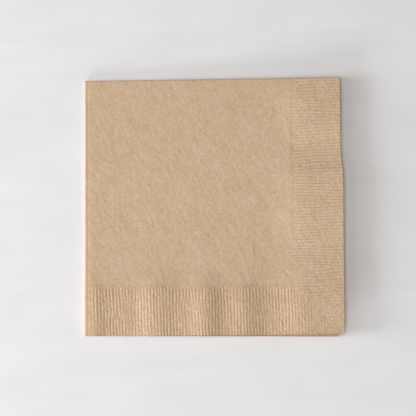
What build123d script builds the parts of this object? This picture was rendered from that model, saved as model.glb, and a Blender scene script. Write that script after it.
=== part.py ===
from build123d import *

import math
import os

# A kraft beverage napkin: one sheet of tissue, folded in half and then in half again.
#
# Everything is in millimetres and degrees.  The napkin lies flat, as on a table, +Z up, with its
# origin under the middle of its box.  The first fold runs along +Y and the second along -X, so the
# open edges lie along -Y and +X.  The sheet is one solid: four leaves in two pairs.  Each pair is a
# hairpin, joined at the first fold, and the second fold carries the whole hairpin round from the
# upper pair to the lower pair.

os.makedirs("parts", exist_ok=True)

# The sheet
leaf_width = 126.2  # the lower pair along X, from the back of the second fold to its open edge
leaf_depth = 127.0  # each leaf along Y, from the back of the first fold to its open edge
sheet_thickness = 0.30  # soft embossed tissue
leaf_gap = 0.50  # air between the two leaves of a pair, inside the first fold
pair_gap = 1.00  # air between the two pairs, inside the second fold

# How the machine's folds missed being square
upper_overhang = 2.9  # how far the upper pair's open corner passes the lower pair's, along X
upper_skew = 0.55  # the upper pair swings this far towards +Y from the second fold
lower_skew = -0.15  # and the lower pair this far the other way
edge_slant = 1.05  # the upper pair's open edge along +X leans out by this towards -Y
top_leaf_setback = 0.5  # the top leaf stops short of the leaf beneath it, along X
leaf_stagger = 0.4  # the outer leaf of each pair stops short of the inner one, along Y

# What follows from them
hairpin_height = 2 * sheet_thickness + leaf_gap
stack_height = 2 * hairpin_height + pair_gap
fold_axis = Axis((stack_height / 2, 0, stack_height / 2), (0, -1, 0))
fold_plane = Plane(origin=fold_axis.position, x_dir=(0, 1, 0), z_dir=(1, 0, 0))
upper_reach = leaf_width + upper_overhang


def hairpin(outward):
    """Draw one pair's section on the second fold's plane; outward is +1 for the upper pair."""
    outer_face = pair_gap / 2 + hairpin_height
    levels = [
        outer_face,
        outer_face - sheet_thickness,
        pair_gap / 2 + sheet_thickness,
        pair_gap / 2,
    ]
    outer_top, outer_under, inner_top, inner_under = [outward * level for level in levels]
    fold_centre = -hairpin_height / 2
    fold_height = outward * (pair_gap + hairpin_height) / 2
    outer_end = leaf_stagger - leaf_depth
    inner_end = -leaf_depth
    with BuildSketch(fold_plane) as section:
        with BuildLine():
            Line((outer_end, outer_top), (fold_centre, outer_top))
            ThreePointArc((fold_centre, outer_top), (0, fold_height), (fold_centre, inner_under))
            Line((fold_centre, inner_under), (inner_end, inner_under))
            Line((inner_end, inner_under), (inner_end, inner_top))
            Line((inner_end, inner_top), (fold_centre, inner_top))
            ThreePointArc(
                (fold_centre, inner_top),
                (fold_centre + leaf_gap / 2, fold_height),
                (fold_centre, outer_under),
            )
            Line((fold_centre, outer_under), (outer_end, outer_under))
            Line((outer_end, outer_under), (outer_end, outer_top))
        make_face()
    return section.sketch


def swing(angle):
    """The direction in which a pair leaves the second fold."""
    return Vector(1, math.tan(math.radians(angle)), 0)


upper_section = hairpin(1)
lower_section = hairpin(-1)
straight_upper = upper_reach - stack_height / 2
straight_lower = leaf_width - stack_height / 2

# The open edge of the upper pair: a plane through its far corner, leaning in towards +Y
edge_normal = swing(edge_slant).normalized()
open_edge = Plane(origin=(upper_reach, -leaf_depth, 0), x_dir=(0, 0, 1), z_dir=edge_normal)
top_leaf_room = sheet_thickness + leaf_gap / 2  # down from the top face to half way to the next leaf
cutter_length = 3 * leaf_depth  # runs well past both ends of the open edge

with BuildPart() as folded:
    # The second fold carries the hairpin half a turn, from the upper pair to the lower pair
    revolve(upper_section, axis=fold_axis, revolution_arc=180)
    extrude(upper_section, amount=straight_upper * swing(upper_skew).length, dir=swing(upper_skew))
    extrude(lower_section, amount=straight_lower * swing(lower_skew).length, dir=swing(lower_skew))
    split(bisect_by=open_edge, keep=Keep.BOTTOM)
    # The top leaf stops short of the leaf beneath it
    with BuildSketch(open_edge) as beside_top_leaf:
        with Locations((stack_height, 0)):
            Rectangle(2 * top_leaf_room, cutter_length)
    extrude(amount=-top_leaf_setback, mode=Mode.SUBTRACT)

# The box's centre moves to the origin, and its floor to Z = 0
box = folded.part.bounding_box()
with BuildPart() as napkin:
    with Locations((-box.center().X, -box.center().Y, -box.min.Z)):
        add(folded.part)
napkin.part.label = "napkin"

export_step(napkin.part, "parts/napkin.step")
print("box", napkin.part.bounding_box())
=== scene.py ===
# %% [markdown]
# # A folded kraft napkin
#
# The real thing is one square of soft, unbleached tissue. A machine presses short ribs into a
# band along all four edges, so that the plies hold together, and then folds the square in half
# twice. This lesson makes it in the same order: a flat square with its ribs, two folds, the loose
# waves of a light sheet, and then its thickness and its colour.

# %% Load the frame
import math

import bmesh
import bpy
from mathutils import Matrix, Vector, noise


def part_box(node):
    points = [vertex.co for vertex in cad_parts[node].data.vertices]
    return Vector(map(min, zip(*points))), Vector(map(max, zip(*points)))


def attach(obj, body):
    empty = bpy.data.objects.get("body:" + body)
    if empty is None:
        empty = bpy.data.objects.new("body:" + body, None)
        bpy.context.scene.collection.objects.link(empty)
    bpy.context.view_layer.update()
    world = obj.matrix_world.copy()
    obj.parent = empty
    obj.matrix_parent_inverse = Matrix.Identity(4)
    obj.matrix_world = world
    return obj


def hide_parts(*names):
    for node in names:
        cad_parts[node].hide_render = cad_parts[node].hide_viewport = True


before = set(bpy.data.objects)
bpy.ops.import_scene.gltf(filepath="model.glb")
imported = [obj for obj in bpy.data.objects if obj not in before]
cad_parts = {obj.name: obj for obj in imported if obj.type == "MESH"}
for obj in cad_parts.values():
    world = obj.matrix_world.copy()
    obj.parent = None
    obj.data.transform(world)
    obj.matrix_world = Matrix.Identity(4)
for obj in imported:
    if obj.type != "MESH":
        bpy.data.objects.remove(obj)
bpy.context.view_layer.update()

MM = 0.001
low, high = (Vector(corner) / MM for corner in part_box("napkin"))
print("the CAD napkin, in millimetres:", [round(side, 1) for side in high - low])

# %% [markdown]
# ## The flat sheet
#
# A sheet could start as a plane that is subdivided, but the ribs are fine and lie only near the
# edges, and the folds are finer still. An even grid that could hold them would need millions of
# faces. So the sheet is laid out as rows of points parallel to its edges, close together where
# the ribs are, and a plain grid inside them. Rows with different numbers of points are then
# zipped together with quads and triangles.
#
# The flat sheet has its own coordinates, u and v, in millimetres from the crossing of the two
# folds. The top leaf is the quarter with u and v above 0, and the bottom leaf has v above 0.

# %% The sheet and its ribs, in millimetres
HALF = 127.0  # half the side of the unfolded square
THICKNESS = 0.30
RIB_PITCH = 1.56
BAND = 25.6  # the ribbed band along each edge
HEADS = 23.6  # the ribs run straight up to here, and then lean into short strokes
TOP_STEP = RIB_PITCH / 7  # between the points across a rib, on the top leaf
UNDER_STEP = RIB_PITCH / 4  # and on the bottom leaf
HIDDEN_STEP = RIB_PITCH / 2.5  # and on the two leaves between them
FOLD_STEP = 0.17
FOLD_REACH = 2.2  # the points stay close together this far from a fold
STEP_GROWTH = 0.4  # and from there the step grows by this share of the way
SHORTEST_STEP = 0.4  # the last step along a row is at least this share of a full one
SAME_PLACE = 0.01

# The rows of points, by how far they lie from the edge. In the spreading rows the points also
# stand 2, 4 and 8 times as far apart along the row.
ROWS = [0, 0.9, 2.8, 5.4, 8.2, 11.0, 13.8, 16.6, 19.2, 21.4, 22.8, 23.6, 24.4, 25.2, 25.9]
SPREADING_ROWS = [(26.7, 2), (27.8, 4), (29.4, 8)]
FIELD_EDGE = 31.5
FIELD_STEP = 2.0
HIDDEN_FIELD_STEP = 4.0


def spread(limit, step):
    """Distances from a fold out to limit, close together near the fold and then step apart."""
    found = [0.0]
    while found[-1] < limit:
        here = found[-1]
        near = FOLD_STEP + max(0, here - FOLD_REACH) * STEP_GROWTH
        found.append(here + min(near, step))
    inside = [value for value in found if value < limit - SHORTEST_STEP * step]
    return inside + [limit]


def both_ways(limit, behind_step, ahead_step):
    """Points along a line that crosses a fold at 0."""
    behind = [-value for value in reversed(spread(limit, behind_step)[1:])]
    return behind + spread(limit, ahead_step)


# %% Zip two rows of points together
def stitch(sheet, outer, inner):
    """Fill between two rows of (place along the row, vertex) with quads and triangles."""
    a = b = 0
    while a < len(outer) - 1 or b < len(inner) - 1:
        next_a = outer[a + 1][0] if a < len(outer) - 1 else math.inf
        next_b = inner[b + 1][0] if b < len(inner) - 1 else math.inf
        if abs(next_a - next_b) < SAME_PLACE:
            corners = (outer[a][1], outer[a + 1][1], inner[b + 1][1], inner[b][1])
            a, b = a + 1, b + 1
        elif next_a < next_b:
            corners = (outer[a][1], outer[a + 1][1], inner[b][1])
            a += 1
        else:
            corners = (outer[a][1], inner[b + 1][1], inner[b][1])
            b += 1
        sheet.faces.new(corners)


# %% Lay out the square
# Each side of the square: how it turns (place along it, distance from the middle) into (u, v),
# and the steps before and after the fold that it crosses.
SIDES = [
    (lambda along, out: (along, out), UNDER_STEP, TOP_STEP),
    (lambda along, out: (out, along), HIDDEN_STEP, TOP_STEP),
    (lambda along, out: (along, -out), HIDDEN_STEP, HIDDEN_STEP),
    (lambda along, out: (-out, along), HIDDEN_STEP, UNDER_STEP),
]


def lay_out_sheet():
    """Make the flat square, with its outer rows zipped together and to the grid inside them."""
    sheet = bmesh.new()
    at = {}

    def vertex(u, v):
        key = (round(u, 4), round(v, 4))
        if key not in at:
            at[key] = sheet.verts.new((u, v, 0))
        return at[key]

    field = HALF - FIELD_EDGE
    lines = both_ways(field, HIDDEN_FIELD_STEP, FIELD_STEP)
    for u0, u1 in zip(lines, lines[1:]):
        for v0, v1 in zip(lines, lines[1:]):
            sheet.faces.new([vertex(*p) for p in ((u0, v0), (u1, v0), (u1, v1), (u0, v1))])

    rows = [(distance, 1) for distance in ROWS] + SPREADING_ROWS
    for place, behind_step, ahead_step in SIDES:
        outer = None
        for distance, growth in rows:
            out = HALF - distance
            marks = both_ways(out, behind_step * growth, ahead_step * growth)
            row = [(along, vertex(*place(along, out))) for along in marks]
            if outer:
                stitch(sheet, outer, row)
            outer = row
        stitch(sheet, outer, [(along, vertex(*place(along, field))) for along in lines])
    bmesh.ops.recalc_face_normals(sheet, faces=sheet.faces)
    return sheet


sheet = lay_out_sheet()
flat_places = [vert.co.copy() for vert in sheet.verts]
print("the flat sheet has", len(sheet.verts), "points and", len(sheet.faces), "faces")

# %% [markdown]
# ## The two folds
#
# Folding is a formula, because paper keeps its length: a point's distance from a fold becomes a
# distance round a small half circle and then along the leaf. The first fold turns v into a place
# in a hairpin of two leaves, and the second carries the whole hairpin round. The machine's folds
# are never quite square to the sheet, so the upper pair of leaves leans one way and the lower
# pair the other, and their open corners part. Handling has rounded the sheet's corners a little.

# %% The folds, in millimetres
LEAF_GAP = 0.12  # the folds are pressed tight, and the leaves stand apart only away from them
PAIR_GAP = 0.15
HAIRPIN_RADIUS = (THICKNESS + LEAF_GAP) / 2
FOLD_RADIUS = (2 * THICKNESS + LEAF_GAP + PAIR_GAP) / 2
MIDDLE = HAIRPIN_RADIUS + FOLD_RADIUS + THICKNESS / 2
CRUSH = 0.45  # below 1, a fold's round section becomes squarer, as pressing leaves it
CREEP = 0.5  # how much more sheet the outer leaves use going round a crushed fold

UPPER_RISE = (1.50, 0.70)  # towards +Y across the upper pair, at the first fold and the open edge
LOWER_RISE = (-0.30, -0.35)
UPPER_LEAN = 1.2  # how much further the upper pair reaches at its open edge than at the first fold
LOWER_LEAN = -0.5
TUCK_PLACE = 41.5  # this far from the first fold, a small crease steps the upper pair's edge out
TUCK_WIDTH = 14.0
TUCK_STEP = 1.15
CORNER_ROUND = 1.3  # the radius of the sheet's own corners
CORNER_DRAW = 0.55  # the upper pair's open corner is drawn back this much further towards +Y
DRAW_START = 0.6  # which starts this share of the way along each of its edges
PAST_BOX = 0.3  # the leaning first fold ends this far outside the CAD napkin's box

fold_x = low.x
fold_y = high.y - UPPER_RISE[0] + PAST_BOX


def smooth(value, start, end):
    """0 up to start, 1 from end on, and a smooth step between them."""
    share = min(1, max(0, (value - start) / (end - start)))
    return share * share * (3 - 2 * share)


def mix(a, b, share):
    return a + (b - a) * share


def around(distance, used):
    """Go distance round a half circle and along: the way out, and the turn from -90 to 90."""
    quarter = math.pi / 2 * used
    if abs(distance) >= quarter:
        return abs(distance) - quarter, math.copysign(math.pi / 2, distance)
    return 0, distance / used


def rounded(u, v):
    """Bring the sheet's sharp corners in to a small round, as handling leaves them."""
    past_u = max(0, abs(u) - (HALF - CORNER_ROUND))
    past_v = max(0, abs(v) - (HALF - CORNER_ROUND))
    reach = math.hypot(past_u, past_v)
    if reach <= CORNER_ROUND:
        return u, v
    keep = 1 - CORNER_ROUND / reach
    return u - math.copysign(past_u * keep, u), v - math.copysign(past_v * keep, v)


def fold(u, v):
    """Where a point of the flat sheet goes."""
    u, v = rounded(u, v)
    along_leaf, turn = around(v, HAIRPIN_RADIUS)
    bulge = math.cos(turn) ** CRUSH if abs(turn) < math.pi / 2 else 0
    y = fold_y - HAIRPIN_RADIUS - THICKNESS / 2 + HAIRPIN_RADIUS * bulge - along_leaf
    outward = HAIRPIN_RADIUS * math.sin(turn)

    along_pair, turn = around(u, FOLD_RADIUS + CREEP * outward)
    radius = FOLD_RADIUS + outward
    x = fold_x + MIDDLE - radius * math.cos(turn) + along_pair
    z = MIDDLE + radius * math.sin(turn)

    if x < fold_x + MIDDLE:
        x = fold_x + MIDDLE - MIDDLE * ((fold_x + MIDDLE - x) / MIDDLE) ** CRUSH

    down, across = abs(v) / HALF, abs(u) / HALF
    rise, lean = (UPPER_RISE, UPPER_LEAN) if u > 0 else (LOWER_RISE, LOWER_LEAN)
    y += across * mix(*rise, down)
    x += across * lean * down
    if u > 0:
        tucked = smooth(abs(v), TUCK_PLACE - TUCK_WIDTH / 2, TUCK_PLACE + TUCK_WIDTH / 2)
        x += across * TUCK_STEP * tucked
        y += CORNER_DRAW * smooth(across, DRAW_START, 1) * smooth(down, DRAW_START, 1)
    return Vector((x, y, z))


for vert, flat in zip(sheet.verts, flat_places):
    vert.co = fold(flat.x, flat.y)
sheet.normal_update()

# The ribs are raised along the normals, so the faces of the top leaf have to point up
inside_top_leaf = Vector((HALF / 2, HALF / 2, 0))
nearest, _ = min(zip(sheet.verts, flat_places), key=lambda pair: (pair[1] - inside_top_leaf).length)
if nearest.normal.z < 0:
    bmesh.ops.reverse_faces(sheet, faces=sheet.faces)
    sheet.normal_update()
reach = [vert.co.x for vert in sheet.verts]
print("folded, it spans", round(max(reach) - min(reach), 1), "mm")

# %% [markdown]
# ## The ribs
#
# The ribs are pressed into the sheet before it is folded, so they belong to the flat sheet and
# stand out along its normal. They run straight in from each edge, and meet along a mitre at the
# corners. A pressed pattern on soft tissue is never perfect: ribs wander, fade where the roll
# pressed lightly, and here and there one splits in two. A split is made by turning the wave's
# phase once around a point, which adds exactly one rib on one side of it.

# %% The ribs, in millimetres
RIB_DEPTH = 0.0182  # how far a ridge stands above the middle of the sheet, and a groove below it
HEAD_LEAN = 1.3  # how far the short strokes at the ribs' heads run sideways
RIB_SHADE_TURN = math.radians(80)  # the painted light on each rib lies this turn of the wave away from a ridge
FRONT_SLOUCH = 0.1  # the front ribs are steeper on the side away from the second fold
SIDE_BAND = (23.4, 25.3)  # the side band's width beside the first fold, and at the open edge
BAND_START = (0.5, 0.3)  # the ribs start over this much, on each side of a band's inner edge
TINT_START = (0.7, 0.3)  # and the band's own colour over this much

# Where the ribs fade: none of them up to the first distance, and all from the second
MITRE_FADE = (0, 5)  # from the mitre
CORNER_FADE = (8, 22)  # from the corner of the sheet, the long way round
SIDE_END_FADE = (6, 20)  # from the end of the side band
FRONT_END_FADE = (14, 26)  # from the end of the front band
FOLD_FADE = (1.5, 5)  # from the second fold
HARD_PRESS = (12, 20)  # the hard press beside the second fold ends between these distances
PRESS = 0.85  # how firmly the roll presses, before its patches
LEAST_PRESS, FULL_PRESS = 0.1, 1.2
SPLITS = [  # along the edge, in from the edge, and which way the extra rib runs
    (14.0, 9.0, 1), (23.5, 15.5, -1), (47.0, 17.0, 1),
    (61.0, 10.0, -1), (82.0, 14.0, 1), (94.0, 8.0, -1),
]

# The front band lies along the edges at the ends of v, and the side band at the ends of u. How
# each band was pressed: the seed of its noise, how far its ribs lean out of square, how unevenly
# they run, how deep they are, and the patches where they are deeper or fainter, each with its
# share, its size, the step to its own seed, and its stretch away from the edge.
FRONT_RIBS = {
    "seed": 3.1,
    "lean": 0.045,
    "jitter": 0.34,
    "depth": 1.0,
    "patches": [(0.75, 6, 2, 1), (0.7, 1.8, 3, 2)],
}
SIDE_RIBS = {
    "seed": 8.7,
    "lean": -0.02,
    "jitter": 0.26,
    "depth": 0.60,
    "patches": [(0.75, 6, 2, 1), (0.5, 1.8, 3, 2), (0.6, 13, 5, 1)],
}


# %% Where the ribs lie
def wander(x, y, size, seed, stretch=1):
    """Smooth noise, size millimetres across, from about -0.7 to 0.7."""
    return noise.noise(Vector((x / size, y / (size * stretch), seed)))


def band_width(v, kind):
    """The side band isn't quite even: it widens away from the first fold."""
    return mix(*SIDE_BAND, abs(v) / HALF) if kind is SIDE_RIBS else BAND


def rib_phase(along, inward, kind):
    """The turn of the ribs' wave at a place along the edge, and this far in from it."""
    shift = 0.30 * wander(along, inward, 7, kind["seed"])
    shift += kind["jitter"] * wander(along, inward, 1.9, kind["seed"] + 1, stretch=2.6)
    head = smooth(inward, HEADS, BAND) if kind is FRONT_RIBS else 0
    phase = 2 * math.pi / RIB_PITCH * (along + kind["lean"] * inward + shift + HEAD_LEAN * head)
    for place, depth, way in SPLITS:
        phase += way * math.atan2(inward - depth, along - place)
    return phase


# %% How deep the ribs are
def press(along, inward, kind):
    """How firmly the roll pressed here: in patches, and hard beside the second fold."""
    firm = PRESS
    for share, size, step, stretch in kind["patches"]:
        firm += share * wander(along, inward, size, kind["seed"] + step, stretch)
    if kind is FRONT_RIBS:
        firm += 0.6 * (1 - smooth(abs(along), *HARD_PRESS))
    return max(LEAST_PRESS, min(FULL_PRESS, firm))


def lasting(u, v, kind):
    """How much of the ribs is left near the corners, along the mitre and beside the second fold."""
    from_u, from_v = HALF - abs(u), HALF - abs(v)
    share = smooth(abs(from_u - from_v) + 3 * wander(u, v, 3, 4.4), *MITRE_FADE)
    share *= smooth(from_u + from_v, *CORNER_FADE)
    if kind is SIDE_RIBS:
        return share * (0.2 + 0.8 * smooth(from_v, *SIDE_END_FADE))
    cut_corner = (1 - smooth(abs(u), 6, 12)) * (1 - smooth(from_v, 4, 8))
    share *= smooth(abs(u), *FOLD_FADE) * (1 - cut_corner)
    return share * (0.6 + 0.4 * smooth(from_u, *FRONT_END_FADE))


# %% Press the ribs into the sheet
def pressed_pattern(u, v):
    """The pressed pattern at a point of the flat sheet: its relief, and its painted light and
    shade.

    The relief goes from -1 in a groove to 1 on a rib. The painted light and shade makes each rib
    lighter on the side that faces the low windows and darker on the side away from them.
    """
    from_u, from_v = HALF - abs(u), HALF - abs(v)
    inward = min(from_u, from_v)
    if inward > BAND + BAND_START[0]:
        return 0, 0
    kind, along, shade_turn = (SIDE_RIBS, v, -RIB_SHADE_TURN)
    if from_v < from_u:
        kind, along, shade_turn = (FRONT_RIBS, u, RIB_SHADE_TURN)
    edge = band_width(v, kind)
    start = 1 - smooth(inward, edge - BAND_START[0], edge + BAND_START[1])
    strength = kind["depth"] * press(along, inward, kind) * lasting(u, v, kind) * start
    phase = rib_phase(along, inward, kind)
    slouch = FRONT_SLOUCH * math.sin(2 * phase) if kind is FRONT_RIBS else 0
    # the second value is painted light and shade: lighter on the rib's side towards the windows
    return strength * (math.cos(phase) + slouch), strength * math.cos(phase + shade_turn)


def band(u, v):
    """1 in the front band, -1 in the side band, and 0 in the field."""
    from_u, from_v = HALF - abs(u), HALF - abs(v)
    kind, inward, sign = (FRONT_RIBS, from_v, 1) if from_v < from_u else (SIDE_RIBS, from_u, -1)
    edge = band_width(v, kind)
    return sign * (1 - smooth(inward, edge - TINT_START[0], edge + TINT_START[1]))


normals = [vert.normal.copy() for vert in sheet.verts]
# the second value of each point is painted light and shade on the ribs
reliefs, rib_shading = zip(*(pressed_pattern(flat.x, flat.y) for flat in flat_places))
banded = [band(flat.x, flat.y) for flat in flat_places]
for vert, normal, relief in zip(sheet.verts, normals, reliefs):
    vert.co += normal * RIB_DEPTH * relief
print("ribs along each edge of the top leaf:", round(HALF / RIB_PITCH))

# %% [markdown]
# ## The loose waves
#
# Pressing the ribs stretches the edges a little, so they ripple, and the leaves stand slightly
# apart. Every leaf follows the leaf under it, so one height map moves the whole stack: it takes a
# height in the stack and gives a new one, always in the same order, and no leaf can pass through
# another.

# %% Waves and the spaces between the leaves, in millimetres
FRONT_WAVES = [  # distance from the second fold, and height, along the open edge at -Y
    (0, 0.43), (5.4, 0.70), (11, 0.38), (24, 0.44), (34.5, 1.34), (37, 1.34), (47, 0.80),
    (50, 0.80), (60, 1.63), (70, 0.67), (79, 1.04), (92, 0.0), (96, 0.0), (109, 0.66),
    (122, 0.55), (130, 0.55),
]
SIDE_WAVES = [  # distance from the first fold, and height, along the open edge at +X
    (0, 0.32), (11, 0.80), (20, 0.72), (33, 0.00), (39, 0.16), (46.5, 0.96), (62, 1.04),
    (85, 0.24), (95, 0.40), (130, 0.32),
]
WAVES_START, WAVES_END = 16, 36  # the waves fade out between these distances from the edge
WAVES_DRIFT = 3.0  # behind the edge they run this far out of line
BROAD_WAVES = [(0.05, 30, 1.3), (0.02, 12, 2.6)]  # the height, size and noise seed of each
STAND_OFF = 0.2  # the least that handling lifts the stack
SHOULDER_DROP, SHOULDER_WIDTH = 0.24, 3.6  # pressing leaves the second fold lower than the rest
FOLLOW = (0.2, 0.45, 0.8, 1.0)  # how much of a wave each leaf follows, from the floor up

LOWER_MOUTH = 0.4  # how much further the leaves stand apart at their open edges
LOWER_UNEVEN = 0.5
PAIR_MOUTH = 3.2
PAIR_CURVE = 1.3  # above 1, the pairs part slowly at first
UPPER_MOUTH = 0.8
LEAF_SPACE = THICKNESS + LEAF_GAP
PAIR_SPACE = THICKNESS + PAIR_GAP
LEVELS = [THICKNESS / 2]  # the middle of each leaf as it is folded, from the floor up
for space in (LEAF_SPACE, PAIR_SPACE, LEAF_SPACE):
    LEVELS.append(LEVELS[-1] + space)


# %% Move the stack
def height_along(waves, place):
    """The height of a row of waves at a place, smooth from each crest or hollow to the next."""
    for (start, first), (end, second) in zip(waves, waves[1:]):
        if place < end:
            return mix(first, second, smooth(place, start, end))
    return waves[-1][1]


def wave(x, y):
    """The shared wave of the stack, x from the second fold and y from the first."""
    from_front, from_side = HALF - y, HALF - x
    drift = WAVES_DRIFT * wander(x, y, 30, 5.2) * smooth(from_front, 8, 40)
    front = height_along(FRONT_WAVES, x + drift) * (1 - smooth(from_front, WAVES_START, WAVES_END))
    side = height_along(SIDE_WAVES, y + drift) * (1 - smooth(from_side, WAVES_START, WAVES_END))
    broad = sum(height * wander(x, y, size, seed) for height, size, seed in BROAD_WAVES)
    shoulder = SHOULDER_DROP * max(0, 1 - x / SHOULDER_WIDTH) ** 2
    return front + side + broad - shoulder + STAND_OFF


def restack(x, y, z):
    """Move a height in the stack by the waves and the spaces between the leaves."""
    across, down = max(0, x / HALF), max(0, y / HALF)
    spaces = [
        LEAF_SPACE + LOWER_MOUTH * down * (1 + LOWER_UNEVEN * wander(x, y, 40, 11)),
        PAIR_SPACE + PAIR_MOUTH * across**PAIR_CURVE,
        LEAF_SPACE + UPPER_MOUTH * down,
    ]
    new_levels = [LEVELS[0]]
    for space in spaces:
        new_levels.append(new_levels[-1] + space)
    lift = wave(x, y)
    new_levels = [level + lift * share for level, share in zip(new_levels, FOLLOW)]
    if z <= LEVELS[0]:
        return new_levels[0] + z - LEVELS[0]
    for n, (below, above) in enumerate(zip(LEVELS, LEVELS[1:])):
        if z <= above:
            return mix(new_levels[n], new_levels[n + 1], (z - below) / (above - below))
    return new_levels[-1] + z - LEVELS[-1]


for vert in sheet.verts:
    x, y, z = vert.co
    vert.co.z = restack(x - fold_x, fold_y - y, z)
print("the stack is", round(max(vert.co.z for vert in sheet.verts), 2), "mm high")

# %% [markdown]
# ## One object with a real thickness
#
# The rows become a mesh with a UV map that remembers each point's place on the flat sheet, so
# that the colour can follow the paper round its folds. Solidify then gives the sheet its
# thickness on both sides of the line that was folded.

# %% Make the mesh
def sheet_object(name):
    layer = sheet.loops.layers.uv.new("flat")
    for face in sheet.faces:
        for loop in face.loops:
            flat = flat_places[loop.vert.index]
            loop[layer].uv = ((flat.x + HALF) / (2 * HALF), (flat.y + HALF) / (2 * HALF))
    lowest = min(vert.co.z for vert in sheet.verts) - THICKNESS / 2
    for vert in sheet.verts:
        vert.co.z -= lowest
        vert.co *= MM
    mesh = bpy.data.meshes.new(name)
    sheet.to_mesh(mesh)
    sheet.free()
    for attribute, values in (("rib_shading", rib_shading), ("band", banded)):
        mesh.attributes.new(attribute, "FLOAT", "POINT").data.foreach_set("value", values)
    made = bpy.data.objects.new(name, mesh)
    bpy.context.collection.objects.link(made)
    return made


def apply_modifier(piece, kind, **settings):
    bpy.ops.object.select_all(action="DESELECT")
    piece.select_set(True)
    bpy.context.view_layer.objects.active = piece
    modifier = piece.modifiers.new(kind.title(), kind)
    for setting, value in settings.items():
        setattr(modifier, setting, value)
    bpy.ops.object.modifier_apply(modifier=modifier.name)


sheet.verts.index_update()
napkin = sheet_object("folded_napkin")
apply_modifier(napkin, "SOLIDIFY", thickness=THICKNESS * MM, offset=0)
bpy.ops.object.shade_smooth_by_angle(angle=math.radians(50))
triangles = sum(len(face.vertices) - 2 for face in napkin.data.polygons)
print("with its thickness, it has", triangles, "triangles")

# %% [markdown]
# ## Shader maths
#
# A small class wraps a socket, so that a formula such as 1 - mask adds its own Math node.

# %% Helpers for materials
class Value:
    """A socket, with the sums that a formula needs."""

    def __init__(self, paint, socket):
        self.paint, self.socket = paint, socket

    def maths(self, operation, *others, first=None):
        values = [self if first is None else first, *others]
        return self.paint.node("ShaderNodeMath", {"operation": operation}, values)

    def __add__(self, other):
        return self.maths("ADD", other)

    def __sub__(self, other):
        return self.maths("SUBTRACT", other)

    def __rsub__(self, other):
        return self.maths("SUBTRACT", self, first=other)

    def __mul__(self, other):
        return self.maths("MULTIPLY", other)

    def size(self):
        return self.maths("ABSOLUTE")

    def part(self, n):
        """One of the parts of a vector: 0 for X, 1 for Y, 2 for Z."""
        return self.paint.node("ShaderNodeSeparateXYZ", {}, [self], out=n)

    def least(self, other):
        return self.maths("MINIMUM", other)

    def clamped(self):
        return self.paint.node("ShaderNodeClamp", {}, {"Value": self})

    def between(self, start, end):
        """0 below start, 1 above end, and smooth between them."""
        wanted = {"interpolation_type": "SMOOTHSTEP"}
        ends = {"Value": self, "From Min": start, "From Max": end}
        return self.paint.node("ShaderNodeMapRange", wanted, ends)

    __radd__, __rmul__ = __add__, __mul__


class Paint:
    """A material under construction."""

    def __init__(self, name):
        self.material = bpy.data.materials.new(name)
        self.material.use_nodes = True
        self.tree = self.material.node_tree
        self.tree.nodes.clear()

    def node(self, kind, settings=None, sockets=(), out=0):
        """Add a node with its settings, then the values or links of its sockets."""
        made = self.tree.nodes.new(kind)
        for setting, value in (settings or {}).items():
            setattr(made, setting, value)
        pairs = sockets.items() if isinstance(sockets, dict) else enumerate(sockets)
        for name, value in pairs:
            if isinstance(value, Value):
                self.tree.links.new(value.socket, made.inputs[name])
            else:
                made.inputs[name].default_value = value
        return Value(self, made.outputs[out]) if made.outputs else None

    def blend(self, share, first, second):
        """Mix two colours."""
        wanted = {"data_type": "RGBA"}
        return self.node("ShaderNodeMix", wanted, {0: share, 6: first, 7: second}, out=2)


# %% [markdown]
# ## Kraft tissue
#
# Unbleached tissue is a warm tan, with no gloss. Close up it is a felt of fibres that lie mostly
# one way, a little lighter where it is thin and darker where they clump, with a few dark specks
# of bark. The roller leaves a faint crease where the ribs start, and handling leaves a few
# wrinkles; both get painted shade along them. Painted shade also darkens the cut edges and the
# second fold, and painted light and shade make each rib lighter on its side towards the windows
# and darker on the other. All of it follows the flat sheet, so it is read from the sheet's own
# UV map.

# %% The colours of kraft tissue, and where it is creased
TAN = (0.576, 0.387, 0.223)
CONTRAST = (0.7, 1.4, 2.3)  # dark kraft is redder than light kraft, so blue varies most
RUST = (0.48, 0.27, 0.13, 1)
BARK = (0.20, 0.09, 0.04, 1)
# the colour of the painted shade at the second fold
FOLD_SHADE_COLOUR = (0.30, 0.20, 0.12, 1)
FIBRE_ANGLE = math.radians(62)
SHEET_SIDE = 2 * HALF

CREASE_PLACE = 23.7  # where the side band starts, from the edge, beside the first fold
CREASE_SLANT = 1.9  # and how much further in it is at the open edge
CREASE_FADE = (62, 92)  # between these distances from the first fold it grows faint
WRINKLES = [  # the two ends of each, from the folds, and its width
    (103, 41.4, 129, 40.6, 0.8),
    (104, 44.2, 129, 43.7, 0.8),
    (83.9, 77.5, 83.4, 90.5, 1.3),
    (96.5, 93.5, 104.0, 103.5, 1.2),
]


def kraft(strength):
    """The tan made lighter, above 0, or darker and redder, below 0."""
    return (*(channel * math.exp(strength * share) for channel, share in zip(TAN, CONTRAST)), 1)


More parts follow.
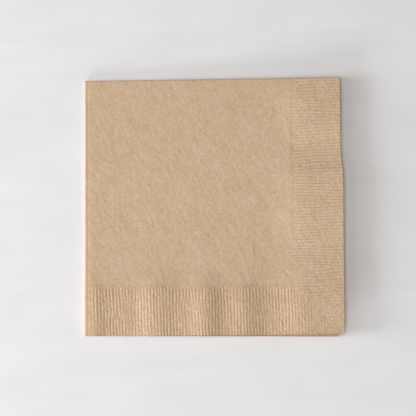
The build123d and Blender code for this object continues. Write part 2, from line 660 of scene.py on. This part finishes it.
# %% Patterns that follow the sheet
class SheetPaint(Paint):
    """A material whose patterns are measured in millimetres on the flat sheet."""

    def __init__(self, name):
        super().__init__(name)
        self.place = self.node("ShaderNodeUVMap", {"uv_map": "flat"})
        self.u, self.v = (self.place.part(n) * SHEET_SIDE - HALF for n in (0, 1))

    def attribute(self, name):
        return self.node("ShaderNodeAttribute", {"attribute_name": name}, out=2)

    def turned(self, scale, angle, middle=(0, 0)):
        """Places on the sheet, from middle and along the angle, in steps of scale millimetres."""
        wanted = {
            "Vector": self.place,
            "Location": (middle[0] / SHEET_SIDE, middle[1] / SHEET_SIDE, 0),
            "Rotation": (0, 0, angle),
            "Scale": (scale[0] / SHEET_SIDE, scale[1] / SHEET_SIDE, 1),
        }
        return self.node("ShaderNodeMapping", {"vector_type": "TEXTURE"}, wanted)

    def grain(self, size, stretch=1, angle=0, detail=2.0):
        """Noise from -0.5 to 0.5, size millimetres across, drawn out along the angle."""
        places = self.turned((size * stretch, size), angle)
        wanted = {"Vector": places, "Scale": 1.0, "Detail": detail, "Roughness": 0.6}
        return self.node("ShaderNodeTexNoise", {}, wanted) - 0.5

    def wrinkle(self, u0, v0, u1, v1, width, unevenness):
        """1 along a short crease between two places on the sheet, fading at its sides and ends."""
        middle = ((u0 + u1) / 2 + HALF, (v0 + v1) / 2 + HALF)
        scale = (math.dist((u0, v0), (u1, v1)) / 2, width)
        places = self.turned(scale, math.atan2(v1 - v0, u1 - u0), middle)
        beside = (places.part(1) + unevenness).size()
        return (1 - beside.between(0, 1)) * (1 - places.part(0).size().between(0.4, 1))


# %% Kraft tissue
def kraft_tissue():
    paint = SheetPaint("kraft_tissue")
    from_side, from_front = HALF - paint.u.size(), HALF - paint.v.size()

    # The felt of fibres, from the finest to the broadest
    felt = paint.grain(0.52, 1.7, FIBRE_ANGLE, detail=1)
    clumps = paint.grain(1.6, 1.6, FIBRE_ANGLE)
    streaks = paint.grain(2.4, 3.2, FIBRE_ANGLE + 0.15, detail=1)
    mottle = paint.grain(4.5, 1.6, FIBRE_ANGLE)
    clouds = paint.grain(16)
    rust = (paint.grain(1.5, 1.3, FIBRE_ANGLE, detail=1) + 0.5).between(0.62, 0.80)
    specks = (paint.grain(0.8, detail=0) + 0.5).between(0.80, 0.85)

    # What the roller did: dashes along the ribs, dimples, most of all at the corner, and a crease
    # with painted shade along it; then painted light and shade on the ribs
    # painted light and shade on the ribs: lighter towards the windows, darker away from them
    painted_rib_shade = paint.attribute("rib_shading")
    in_band = paint.attribute("band")
    front_dashes = paint.grain(0.45, 4, math.pi / 2, detail=1) * in_band.between(0, 0.5)
    side_dashes = paint.grain(0.45, 4, detail=1) * (0 - in_band).between(0, 0.5)
    dashes = front_dashes + side_dashes
    corner = 1 - (from_side + from_front).between(20, 48)
    dimples = paint.grain(0.9, detail=1) * in_band.size() * (corner + 1)
    # the crease is a bump with painted shade along it
    slant = paint.v.size() * (CREASE_SLANT / HALF)
    off_crease = (from_side - slant - CREASE_PLACE + clumps).size()
    crease_and_shade = (1 - off_crease.between(0, 0.6)) * (1 - paint.v.size().between(*CREASE_FADE) * 0.8)

    # Wrinkles from handling, and painted shade along the cut edges and at the second fold
    # the wrinkles are bumps with painted shade along them
    wrinkles_with_shade = 0
    for ends in WRINKLES:
        wrinkles_with_shade = paint.wrinkle(*ends, streaks * 2) + wrinkles_with_shade
    # painted shade along the cut edges
    edge_shade = 1 - from_side.least(from_front).between(0, 0.5)
    # painted shade along the second fold
    fold_shade = 1 - paint.u.size().between(0.9, 1.8)

    tone = felt * 0.82 + clumps * 0.5 + mottle * 0.3 + clouds * 0.2
    # the last term is painted light and shade on the ribs
    tone = tone + dashes * 0.6 + dimples * 0.17 + painted_rib_shade * 0.19
    # painted shade in the crease, along the wrinkles and along the cut edges
    tone = tone - in_band.between(0, 0.5) * 0.06 - crease_and_shade * 0.13 - wrinkles_with_shade * 0.12 - edge_shade * 0.3
    colour = paint.blend((tone + 0.5).clamped(), kraft(-0.30), kraft(0.30))
    colour = paint.blend(rust * 0.2, colour, RUST)
    colour = paint.blend(specks * 0.6, colour, BARK)
    # painted shade at the second fold
    colour = paint.blend(fold_shade * 0.5, colour, FOLD_SHADE_COLOUR)

    height = clumps * 0.4 + streaks * 0.6 + mottle * 2.2 + dashes + dimples * 1.35
    height = height - crease_and_shade * 0.4 - wrinkles_with_shade * 0.8
    bumps = {"Strength": 0.5, "Distance": 0.15 * MM, "Height": height}
    wanted = {
        "Base Color": colour,
        "Roughness": 0.9 + felt * 0.1,
        "Normal": paint.node("ShaderNodeBump", {}, bumps),
        "Specular IOR Level": 0.15,
        "Sheen Weight": 0.08,
        "Sheen Roughness": 0.5,
    }
    shader = paint.node("ShaderNodeBsdfPrincipled", {}, wanted)
    paint.node("ShaderNodeOutputMaterial", {}, {"Surface": shader})
    return paint.material


napkin.data.materials.append(kraft_tissue())
print("materials:", [slot.name for slot in napkin.data.materials])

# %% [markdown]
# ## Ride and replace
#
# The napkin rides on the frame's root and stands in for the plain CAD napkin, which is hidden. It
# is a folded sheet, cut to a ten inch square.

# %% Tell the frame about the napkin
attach(napkin, "root")
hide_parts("napkin")

# %% [markdown]
# ## The floor, the lights and the camera
#
# The floor is pale plaster, swept one way by the float. Daylight comes in low through two windows,
# at the left and at the near left corner, and rakes across the ribs. A higher window, a warm
# ceiling light and a faint sky soften the shadows. The camera looks straight down.

# %% Floor, in metres
FLOOR_SIDE = 3.0
PALE_PLASTER = (0.865, 0.852, 0.860, 1)
GREY_PLASTER = (0.760, 0.748, 0.756, 1)
STROKE_SIZE = (0.045, 0.010, 1)
STROKE_ANGLE = 0.08


def pale_floor():
    paint = Paint("pale_floor")
    place = paint.node("ShaderNodeTexCoord", out=3)
    cloudy = {"Vector": place, "Scale": 24.0, "Detail": 4.0}
    clouds = paint.node("ShaderNodeTexNoise", {}, cloudy) - 0.5
    along_strokes = {"Vector": place, "Rotation": (0, 0, STROKE_ANGLE), "Scale": STROKE_SIZE}
    swept = paint.node("ShaderNodeMapping", {"vector_type": "TEXTURE"}, along_strokes)
    stroked = {"Vector": swept, "Scale": 1.0, "Detail": 3.0}
    strokes = paint.node("ShaderNodeTexNoise", {}, stroked) - 0.5
    tone = (clouds * 0.7 + strokes * 0.8 + 0.5).clamped()
    colour = paint.blend(tone, GREY_PLASTER, PALE_PLASTER)
    wanted = {"Base Color": colour, "Roughness": 0.9, "Specular IOR Level": 0.1}
    shader = paint.node("ShaderNodeBsdfPrincipled", {}, wanted)
    paint.node("ShaderNodeOutputMaterial", {}, {"Surface": shader})
    return paint.material


bpy.ops.object.select_all(action="DESELECT")
bpy.ops.mesh.primitive_plane_add(size=FLOOR_SIDE)
floor = bpy.context.object
floor.name = "floor"
floor.data.materials.append(pale_floor())

# %% Lights, aimed at the napkin's middle
def area_light(name, place, size, power, colour):
    lamp = bpy.data.lights.new(name, "AREA")
    lamp.shape = "RECTANGLE"
    lamp.size, lamp.size_y = size
    lamp.energy = power
    lamp.color = colour
    light = bpy.data.objects.new(name, lamp)
    light.location = place
    light.rotation_euler = (Vector() - Vector(place)).to_track_quat("-Z", "Y").to_euler()
    bpy.context.collection.objects.link(light)
    print(name, "gives", power, "watts")


DAYLIGHT = (0.96, 0.995, 1.05)
ROOM_LIGHT = (1.035, 1.005, 0.955)
area_light("left_window", (-1.25, -0.06, 0.285), (0.36, 0.52), 14.2, DAYLIGHT)
area_light("corner_window", (-0.86, -1.11, 0.245), (0.7, 0.46), 17.0, DAYLIGHT)
area_light("high_window", (-1.05, -0.08, 0.85), (0.5, 0.7), 3.0, DAYLIGHT)
area_light("ceiling", (0, 0, 1.6), (1.0, 1.0), 11.6, ROOM_LIGHT)

# %% Sky
# It lights the napkin faintly, and looks pale where it shows past the end of the floor
SKY_LIGHT = 0.12
SKY_SEEN = 0.72
sky = bpy.data.worlds.new("studio")
sky.use_nodes = True
sky_nodes = sky.node_tree.nodes
rays = sky_nodes.new("ShaderNodeLightPath")
brightness = sky_nodes.new("ShaderNodeMapRange")
brightness.inputs["To Min"].default_value = SKY_LIGHT
brightness.inputs["To Max"].default_value = SKY_SEEN
sky.node_tree.links.new(rays.outputs["Is Camera Ray"], brightness.inputs["Value"])
sky.node_tree.links.new(brightness.outputs["Result"], sky_nodes["Background"].inputs["Strength"])
sky_nodes["Background"].inputs["Color"].default_value = (*ROOM_LIGHT, 1)
bpy.context.scene.world = sky
bpy.context.scene.view_settings.view_transform = "Standard"

# %% Camera
VIEW_SPAN = 0.2079  # how much of the floor the picture spans
CAMERA_HEIGHT = 1.1
CAMERA_OFFSET = (-0.0032, -0.0002)

lens = bpy.data.cameras.new("camera")
lens.sensor_width = 36
lens.lens = lens.sensor_width * CAMERA_HEIGHT / VIEW_SPAN
camera = bpy.data.objects.new("camera", lens)
camera.location = (*CAMERA_OFFSET, CAMERA_HEIGHT)
bpy.context.collection.objects.link(camera)
bpy.context.scene.camera = camera
